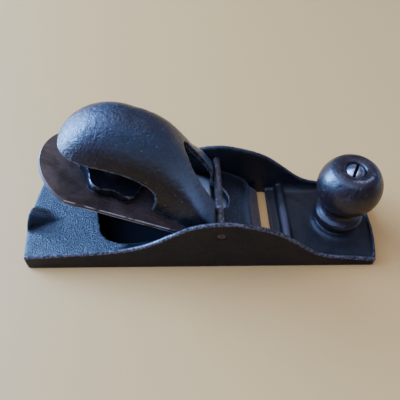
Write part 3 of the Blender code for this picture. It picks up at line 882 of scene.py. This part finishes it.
def build_screw():
    """The knob's slotted screw, its head a little domed and its edges worn."""
    low = SCREW_TOP - SCREW_HEAD_DEPTH
    dome = [(0.0002, 0.0), (0.0012, 0.0001), (0.0022, 0.00036), (0.0031, 0.0008), (0.0038, 0.0013),
            (0.0044, 0.0019), (SCREW_HEAD_RADIUS, 0.0023)]
    profile = [(radius, SCREW_TOP - sink) for radius, sink in dome]
    profile += [(SCREW_HEAD_RADIUS, low + 0.0003), (SCREW_HEAD_RADIUS - 0.0004, low),
                (SCREW_SHANK, low), (SCREW_SHANK, SCREW_FOOT)]
    screw = revolved("slotted_screw", profile, about_knob, 64)
    half = SLOT_WIDTH / 2
    reach = 2 * SCREW_HEAD_RADIUS
    turn = Matrix.Rotation(SLOT_TURN, 3, "Z")

    def turned(a, b, height):
        return turn @ Vector((a, b, height)) + Vector((KNOB_X, 0.0, 0.0))

    outline = [(-half, -reach), (half, -reach), (half, reach), (-half, reach)]
    cut(screw, prism("slot", outline, turned, SCREW_TOP - SLOT_DEPTH, SCREW_TOP + 0.01))
    remesh(screw, VOXEL_SCREW)
    relax(screw, 3, 0.5)
    keep_inside(screw, "knob_screw")
    mark_edges(screw, 6, 0.0003)
    co = points_of(screw)
    aside = np.abs((co[:, 0] - KNOB_X) * math.cos(SLOT_TURN) + co[:, 1] * math.sin(SLOT_TURN))
    store(screw, "slot", fall(aside, 0.90 * half, 1.25 * half))
    return screw


# ---------------------------------------------------------------- materials

class Surface:
    """A Principled material and short calls for its nodes."""

    def __init__(self, name, specular, coat=0.0, coat_roughness=0.1):
        self.material = bpy.data.materials.new(name)
        self.material.use_nodes = True
        self.tree = self.material.node_tree
        self.shader = self.tree.nodes["Principled BSDF"]
        self.shader.inputs["Specular IOR Level"].default_value = specular
        self.shader.inputs["Coat Weight"].default_value = coat
        self.shader.inputs["Coat Roughness"].default_value = coat_roughness
        self.place = self.tree.nodes.new("ShaderNodeTexCoord").outputs["Object"]

    def put(self, socket, value):
        """Links a value, or sets a constant."""
        if isinstance(value, bpy.types.NodeSocket):
            self.tree.links.new(value, socket)
        elif isinstance(value, tuple) and len(value) == 3 and socket.type == "RGBA":
            socket.default_value = (*value, 1.0)
        else:
            socket.default_value = value

    def node(self, kind, **inputs):
        """A new node. Its inputs are given by name, with _ for each space."""
        node = self.tree.nodes.new(kind)
        for name, value in inputs.items():
            self.put(node.inputs[name.replace("_", " ")], value)
        return node

    def noise(self, size, detail=4.0, roughness=0.55, stretch=(1.0, 1.0, 1.0), distortion=0.0):
        """Noise from 0 to 1 with features of about the given size, drawn out by stretch."""
        scale = tuple(1 / (size * s) for s in stretch)
        mapping = self.node("ShaderNodeMapping", Vector=self.place, Scale=scale)
        node = self.node("ShaderNodeTexNoise", Vector=mapping.outputs["Vector"], Scale=1.0,
                         Detail=detail, Roughness=roughness, Distortion=distortion)
        return node.outputs["Fac"]

    def cells(self, size):
        """Distance from 0 to about 1 to the nearest of points about a size apart."""
        return self.node("ShaderNodeTexVoronoi", Vector=self.place, Scale=1 / size).outputs["Distance"]

    def stored(self, name):
        """A number that store() kept with the mesh."""
        node = self.tree.nodes.new("ShaderNodeAttribute")
        node.attribute_name = name
        return node.outputs["Fac"]

    def span(self, value, low, high, to_low=0.0, to_high=1.0):
        """Maps low..high to to_low..to_high, smooth and clamped."""
        node = self.node("ShaderNodeMapRange", Value=value, From_Min=low, From_Max=high,
                         To_Min=to_low, To_Max=to_high)
        node.interpolation_type = "SMOOTHSTEP"
        return node.outputs["Result"]

    def math(self, operation, a, b):
        """A Math node of two values."""
        node = self.tree.nodes.new("ShaderNodeMath")
        node.operation = operation
        self.put(node.inputs[0], a)
        self.put(node.inputs[1], b)
        return node.outputs["Value"]

    def times(self, a, b):
        """The product of two values."""
        return self.math("MULTIPLY", a, b)

    def mix(self, share, a, b):
        """A colour between a and b. A Mix node's colours are its inputs 6 and 7 and its output 2."""
        node = self.tree.nodes.new("ShaderNodeMix")
        node.data_type = "RGBA"
        self.put(node.inputs["Factor"], share)
        self.put(node.inputs[6], a)
        self.put(node.inputs[7], b)
        return node.outputs[2]

    def blend(self, share, a, b):
        """A number between a and b. A Mix node's numbers are its inputs 2 and 3 and its output 0."""
        node = self.tree.nodes.new("ShaderNodeMix")
        node.data_type = "FLOAT"
        self.put(node.inputs[0], share)
        self.put(node.inputs[2], a)
        self.put(node.inputs[3], b)
        return node.outputs[0]

    def bump(self, *layers):
        """Layers of (height value, depth in metres), coarse first."""
        below = {}
        for height, depth in layers:
            node = self.node("ShaderNodeBump", Strength=1.0, Distance=depth, Height=height, **below)
            below = {"Normal": node.outputs["Normal"]}
        self.put(self.shader.inputs["Normal"], below["Normal"])

    def finish(self, colour, roughness, metallic=None, specular=None, coat=None):
        """Fills in the inputs that vary and gives the material."""
        inputs = {"Base Color": colour, "Roughness": roughness, "Metallic": metallic,
                  "Specular IOR Level": specular, "Coat Weight": coat}
        for name, value in inputs.items():
            if value is not None:
                self.put(self.shader.inputs[name], value)
        return self.material


def casting_material():
    """Old black iron: a brown, rough skin inside, a darker one outside, bare iron on worn edges, painted
    shade under the iron and on the horn, and a painted highlight on the rib.
    """
    s = Surface("old_black_iron", specular=0.35)
    inside, platform, horn_shade, shaded_well = [s.stored(name) for name in ("inside", "platform", "horn_shade", "shaded_well")]
    edge = s.times(s.span(s.stored("edge"), 0.61, 0.84), s.span(inside, 0.3, 1.0, 1.0, 0.25))
    worn = s.times(edge, s.span(s.noise(0.0014, 5, 0.65), 0.40, 0.62, 0.12, 1.0))
    hollow = s.span(s.stored("edge"), 0.5, 0.2)
    blotch = s.span(s.noise(0.012, 5, 0.6), 0.35, 0.68)
    speck = s.span(s.noise(0.0009, 3, 0.6), 0.58, 0.72)
    base = s.mix(blotch, (0.0100, 0.0092, 0.0100), (0.0175, 0.0152, 0.0150))
    base = s.mix(inside, (0.0036, 0.0034, 0.0062), base)
    base = s.mix(s.times(speck, 0.30), base, (0.050, 0.046, 0.050))
    base = s.mix(s.times(hollow, 0.6), base, (0.012, 0.0090, 0.0080))
    base = s.mix(worn, base, (0.150, 0.128, 0.138))
    # Painted highlight: the rib ahead of the mouth is painted lighter.
    base = s.mix(s.times(s.stored("rubbed"), 0.8), base, (0.075, 0.066, 0.080))
    # Painted shade: the floor under the iron and the horn's side are painted near black.
    base = s.mix(s.math("MAXIMUM", shaded_well, s.times(horn_shade, 0.8)), base, (0.0040, 0.0040, 0.0045))
    rough = s.blend(blotch, 0.38, 0.50)
    rough = s.blend(platform, rough, 0.34)
    rough = s.blend(horn_shade, rough, 0.6)
    rough = s.blend(worn, rough, 0.38)
    rough = s.blend(shaded_well, rough, 0.85)
    shine = s.blend(inside, 0.16, 0.38)
    shine = s.blend(platform, shine, 0.155)
    shine = s.blend(horn_shade, shine, 0.07)
    shine = s.blend(s.stored("toe"), shine, s.times(shine, 0.52))
    shine = s.blend(shaded_well, shine, 0.04)
    grain = s.blend(platform, s.times(s.noise(0.0007, 4, 0.6), 0.35), s.noise(0.0006, 3, 0.85))
    grit = s.times(platform, s.span(s.cells(0.0011), 0.15, 0.45))
    s.bump((s.noise(0.0030, 4, 0.6), 0.00010), (grit, 0.00012), (grain, 0.00036))
    return s.finish(base, rough, s.times(worn, 0.25), shine)


def cap_material():
    """Black iron, pitted on the palm rest, rubbed where the palm lies, and with a painted bluish sheen on
    its sides.
    """
    s = Surface("rubbed_black_iron", specular=0.43)
    dome = s.stored("dome")
    edge = s.span(s.stored("edge"), 0.58, 0.80)
    worn = s.times(edge, s.span(s.noise(0.0025, 5), 0.38, 0.58))
    blotch = s.span(s.noise(0.009, 6, 0.62), 0.38, 0.66)
    speck = s.span(s.cells(0.0034), 0.12, 0.04)
    base = s.mix(blotch, (0.0080, 0.0056, 0.0090), (0.0155, 0.0115, 0.0155))
    base = s.mix(dome, s.mix(blotch, (0.0090, 0.0088, 0.0100), (0.0160, 0.0150, 0.0165)), base)
    # Painted reflection: a bluish sheen, lighter low on the arms, laid where the palm rubs.
    rubbed = s.mix(s.stored("arm_sheen"), (0.032, 0.046, 0.066), (0.100, 0.128, 0.166))
    base = s.mix(s.times(s.stored("palm"), 0.85), base, rubbed)
    base = s.mix(s.times(speck, 0.6), base, (0.200, 0.205, 0.230))
    base = s.mix(worn, base, (0.130, 0.122, 0.140))
    rough = s.blend(blotch, 0.18, 0.29)
    rough = s.blend(worn, rough, 0.34)
    pits = s.times(s.noise(0.0015, 4, 0.65), s.blend(dome, 0.30, 1.0))
    grain = s.times(s.noise(0.0007, 3, 0.6), s.blend(dome, 0.5, 1.0))
    s.bump((s.noise(0.0042, 4, 0.6), 0.00030), (pits, 0.00050), (grain, 0.00026))
    return s.finish(base, rough, s.times(worn, 0.5), s.blend(s.stored("under"), 0.43, 0.27))


def steel_material():
    """Brown, stained steel: paler on the bevel, bare under the lever cap and painted near white there as a
    reflection, darker with painted shade below the open rear, worn on the rim.
    """
    s = Surface("brown_patina_steel", specular=0.30)
    cloud = s.span(s.noise(0.016, 6, 0.62, distortion=0.6), 0.36, 0.66)
    grain = s.noise(0.0007, 4, 0.6, stretch=(9.0, 1.0, 9.0))
    rear = s.stored("rear")
    spots = s.span(s.noise(0.0022, 4, 0.6), 0.60, 0.72)
    base = s.mix(cloud, (0.070, 0.043, 0.029), (0.146, 0.100, 0.070))
    # Painted shade: the steel below the open rear end, towards and under the lever cap, is painted darker.
    base = s.mix(rear, s.mix(cloud, (0.046, 0.027, 0.021), (0.092, 0.060, 0.048)), base)
    base = s.mix(s.times(spots, 0.5), base, (0.035, 0.020, 0.016))
    base = s.mix(s.stored("bevel"), base, (0.150, 0.118, 0.110))
    base = s.mix(s.span(grain, 0.62, 0.80, 0.0, 0.5), base, (0.20, 0.18, 0.18))
    marks = s.noise(0.0007, 5, 0.68, stretch=(9.0, 1.0, 9.0), distortion=1.6)
    base = s.mix(s.span(marks, 0.58, 0.70, 0.0, 0.45), base, (0.22, 0.19, 0.19))
    base = s.mix(s.span(marks, 0.46, 0.32, 0.0, 0.65), base, (0.026, 0.015, 0.013))
    base = s.mix(s.times(s.stored("flank"), 0.8), base, (0.040, 0.034, 0.036))
    rim = s.times(s.stored("rim"), s.span(s.noise(0.0016, 4, 0.6, stretch=(3.0, 1.0, 3.0)), 0.36, 0.52))
    base = s.mix(rim, base, (0.36, 0.34, 0.35))
    # Painted reflection: the clean steel under the lever cap is painted near white in place of the window's
    # reflection.
    clean = s.stored("clean_steel_glare")
    base = s.mix(clean, base, (0.93, 0.95, 0.98))
    rough = s.blend(clean, s.blend(cloud, 0.36, 0.48), 0.35)
    metallic = s.blend(clean, s.blend(rear, 0.20, 0.30), 0.0)
    s.bump((s.noise(0.0030, 5, 0.6), 0.00010), (grain, 0.00003))
    return s.finish(base, rough, metallic, s.blend(rear, 0.09, 0.29))


def rod_material():
    """Dull rod steel, dark on a riveted end with rust round it."""
    s = Surface("dull_rod_steel", specular=0.6)
    end = s.stored("end")
    cloud = s.span(s.noise(0.0035, 5, 0.6), 0.38, 0.62)
    base = s.mix(cloud, (0.060, 0.045, 0.040), (0.135, 0.112, 0.112))
    speck = s.span(s.cells(0.0009), 0.30, 0.16)
    base = s.mix(s.times(speck, 0.7), base, (0.45, 0.43, 0.44))
    base = s.mix(end, base, (0.016, 0.012, 0.012))
    rust = s.times(s.stored("rust"), s.span(s.noise(0.0012, 3), 0.35, 0.6, 0.3, 1.0))
    base = s.mix(rust, base, (0.190, 0.070, 0.050))
    s.bump((s.noise(0.0009, 4, 0.6), 0.00010))
    return s.finish(base, s.blend(end, s.blend(cloud, 0.50, 0.34), 0.6), s.blend(end, 0.7, 0.1))


def wheel_material():
    """Black iron, worn bright on its edges, with a highlight painted on the end of one lobe."""
    s = Surface("wheel_iron", specular=0.08)
    edge = s.span(s.stored("edge"), 0.66, 0.84)
    worn = s.times(edge, s.span(s.noise(0.002, 4), 0.42, 0.60))
    cloud = s.span(s.noise(0.004, 5, 0.6), 0.38, 0.64)
    base = s.mix(cloud, (0.0060, 0.0052, 0.0056), (0.0120, 0.0100, 0.0100))
    # Painted highlight: the lobe's end joins the worn edges and takes their bright colour.
    worn = s.math("MAXIMUM", worn, s.stored("tip_glint"))
    base = s.mix(worn, base, (0.24, 0.225, 0.23))
    s.bump((s.noise(0.0012, 4, 0.6), 0.00012))
    return s.finish(base, s.blend(worn, 0.62, 0.25), worn)


def wood_material():
    """Dark finished wood with fine grain, worn patches and small dents."""
    s = Surface("dark_finished_wood", specular=0.35, coat=0.40, coat_roughness=0.24)
    grain = s.noise(0.0012, 5, 0.62, stretch=(1.0, 1.0, 14.0), distortion=0.4)
    bands = s.noise(0.0045, 3, 0.5, stretch=(1.0, 1.0, 6.0), distortion=0.8)
    wear = s.span(s.noise(0.006, 6, 0.66), 0.54, 0.66)
    dents = s.span(s.cells(0.0036), 0.16, 0.06)
    base = s.mix(s.span(grain, 0.36, 0.66), (0.0060, 0.0036, 0.0046), (0.019, 0.0100, 0.0100))
    base = s.mix(s.span(bands, 0.42, 0.60, 0.0, 0.55), base, (0.013, 0.0065, 0.0068))
    base = s.mix(s.times(wear, 0.55), base, (0.060, 0.033, 0.030))
    base = s.mix(s.times(dents, 0.35), base, (0.110, 0.085, 0.090))
    arc = s.times(s.stored("arc"), s.span(s.noise(0.0012, 4), 0.38, 0.58))
    base = s.mix(s.times(arc, 0.6), base, (0.20, 0.17, 0.15))
    rough = s.blend(wear, 0.36, 0.55)
    s.bump((s.noise(0.0040, 5, 0.62), 0.00035), (s.noise(0.0013, 4, 0.6), 0.00016), (grain, 0.00003))
    return s.finish(base, rough, coat=s.blend(wear, 0.22, 0.05))


def screw_material():
    """Worn steel, with painted shade making the slot near black."""
    s = Surface("worn_screw_steel", specular=0.6)
    edge = s.span(s.stored("edge"), 0.60, 0.85)
    cloud = s.span(s.noise(0.0022, 5, 0.6), 0.40, 0.64)
    base = s.mix(cloud, (0.20, 0.19, 0.21), (0.42, 0.40, 0.44))
    base = s.mix(s.times(edge, 0.6), base, (0.36, 0.34, 0.36))
    slot = s.stored("slot")
    # Painted shade: the slot is painted near black.
    base = s.mix(slot, base, (0.004, 0.0035, 0.0035))
    s.bump((s.noise(0.0012, 4, 0.6), 0.00008))
    return s.finish(base, s.blend(slot, s.blend(cloud, 0.30, 0.20), 0.9), 0.9)


# ---------------------------------------------------------------- the stage

CAMERA_PLACE = (-0.00897, -0.13422, 0.18564)
CAMERA_TURN = (39.294, -1.273, -1.396)
CAMERA_LENS = 38.446

# Lights: bearing from +X towards +Y and height in degrees, distance, width, height, watts, colour.
LIGHTS = {
    "window": (163.0, 15.0, 1.30, 1.25, 1.00, 185.0, (0.20, 0.385, 0.97)),
    "bright pane": (160.0, 4.0, 1.30, 0.34, 0.42, 66.0, (0.20, 0.54, 1.0)),
    "sky": (168.0, 52.0, 1.40, 1.30, 0.70, 23.0, (0.33, 0.48, 0.93)),
    "skylight": (238.0, 60.0, 1.40, 0.90, 0.90, 16.0, (0.28, 0.46, 1.0)),
    "far window": (20.0, 7.0, 1.50, 1.50, 0.50, 5.0, (0.26, 0.44, 1.0)),
    "ceiling": (40.0, 80.0, 1.60, 1.60, 1.60, 12.0, (0.75, 0.74, 0.90)),
}
LIGHT_TARGET = Vector((0.0, 0.0, 0.02))
WORLD_COLOUR = (0.49, 0.57, 0.92)
WORLD_STRENGTH = 0.32
FLOOR_SIZE = 6.0
FLOOR_DROP = 0.0001
FLOOR_COLOUR = (0.64, 0.33, 0.092)


def build_stage():
    """The lights, the world, the plain floor and the camera in the photo's place."""
    for name, (bearing, height, distance, width, tall, watts, colour) in LIGHTS.items():
        light = bpy.data.lights.new(name, "AREA")
        light.shape = "RECTANGLE"
        light.size, light.size_y = width, tall
        light.energy = watts
        light.color = colour
        lamp = added(name, light)
        a, e = math.radians(bearing), math.radians(height)
        towards = Vector((math.cos(e) * math.cos(a), math.cos(e) * math.sin(a), math.sin(e)))
        lamp.location = LIGHT_TARGET + distance * towards
        lamp.rotation_euler = (-towards).to_track_quat("-Z", "Y").to_euler()

    world = bpy.data.worlds.new("studio")
    world.use_nodes = True
    background = world.node_tree.nodes["Background"]
    background.inputs["Color"].default_value = (*WORLD_COLOUR, 1.0)
    background.inputs["Strength"].default_value = WORLD_STRENGTH
    bpy.context.scene.world = world

    half = FLOOR_SIZE / 2
    corners = [(-half, -half, 0.0), (half, -half, 0.0), (half, half, 0.0), (-half, half, 0.0)]
    floor = mesh_object("floor", corners, [(0, 1, 2, 3)])
    floor.location.z = -FLOOR_DROP
    surface = Surface("pale_floor", specular=0.3)
    tone = surface.mix(surface.noise(0.35, 3), FLOOR_COLOUR, tuple(0.94 * c for c in FLOOR_COLOUR))
    floor.data.materials.append(surface.finish(tone, 0.55))

    camera = bpy.data.cameras.new("camera")
    camera.lens = CAMERA_LENS
    camera.sensor_width = 36.0
    camera.clip_start = 0.01
    holder = added("camera", camera)
    holder.location = CAMERA_PLACE
    holder.rotation_euler = tuple(math.radians(a) for a in CAMERA_TURN)
    bpy.context.scene.camera = holder


PIECES = [
    (build_casting, casting_material, "body", "body_casting", "worn_cast_iron"),
    (build_pin, rod_material, "body", "cross_pin", "rod_steel"),
    (build_iron, steel_material, "iron", "cutter_iron", "patinated_steel"),
    (build_cap, cap_material, "cap", "lever_cap", "lever_cap_iron"),
    (build_stud, rod_material, "stud", "clamp_stud", "rod_steel"),
    (build_wheel, wheel_material, "wheel", "clamp_wheel", "wheel_iron"),
    (build_knob, wood_material, "body", "front_knob", "dark_wood"),
    (build_screw, screw_material, "body", "knob_screw", "screw_steel"),
]

build_stage()
for build, material, body, node, slot in PIECES:
    piece = build()
    piece.data.materials.clear()
    piece.data.materials.append(material())
    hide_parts(node)
    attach(piece, body)
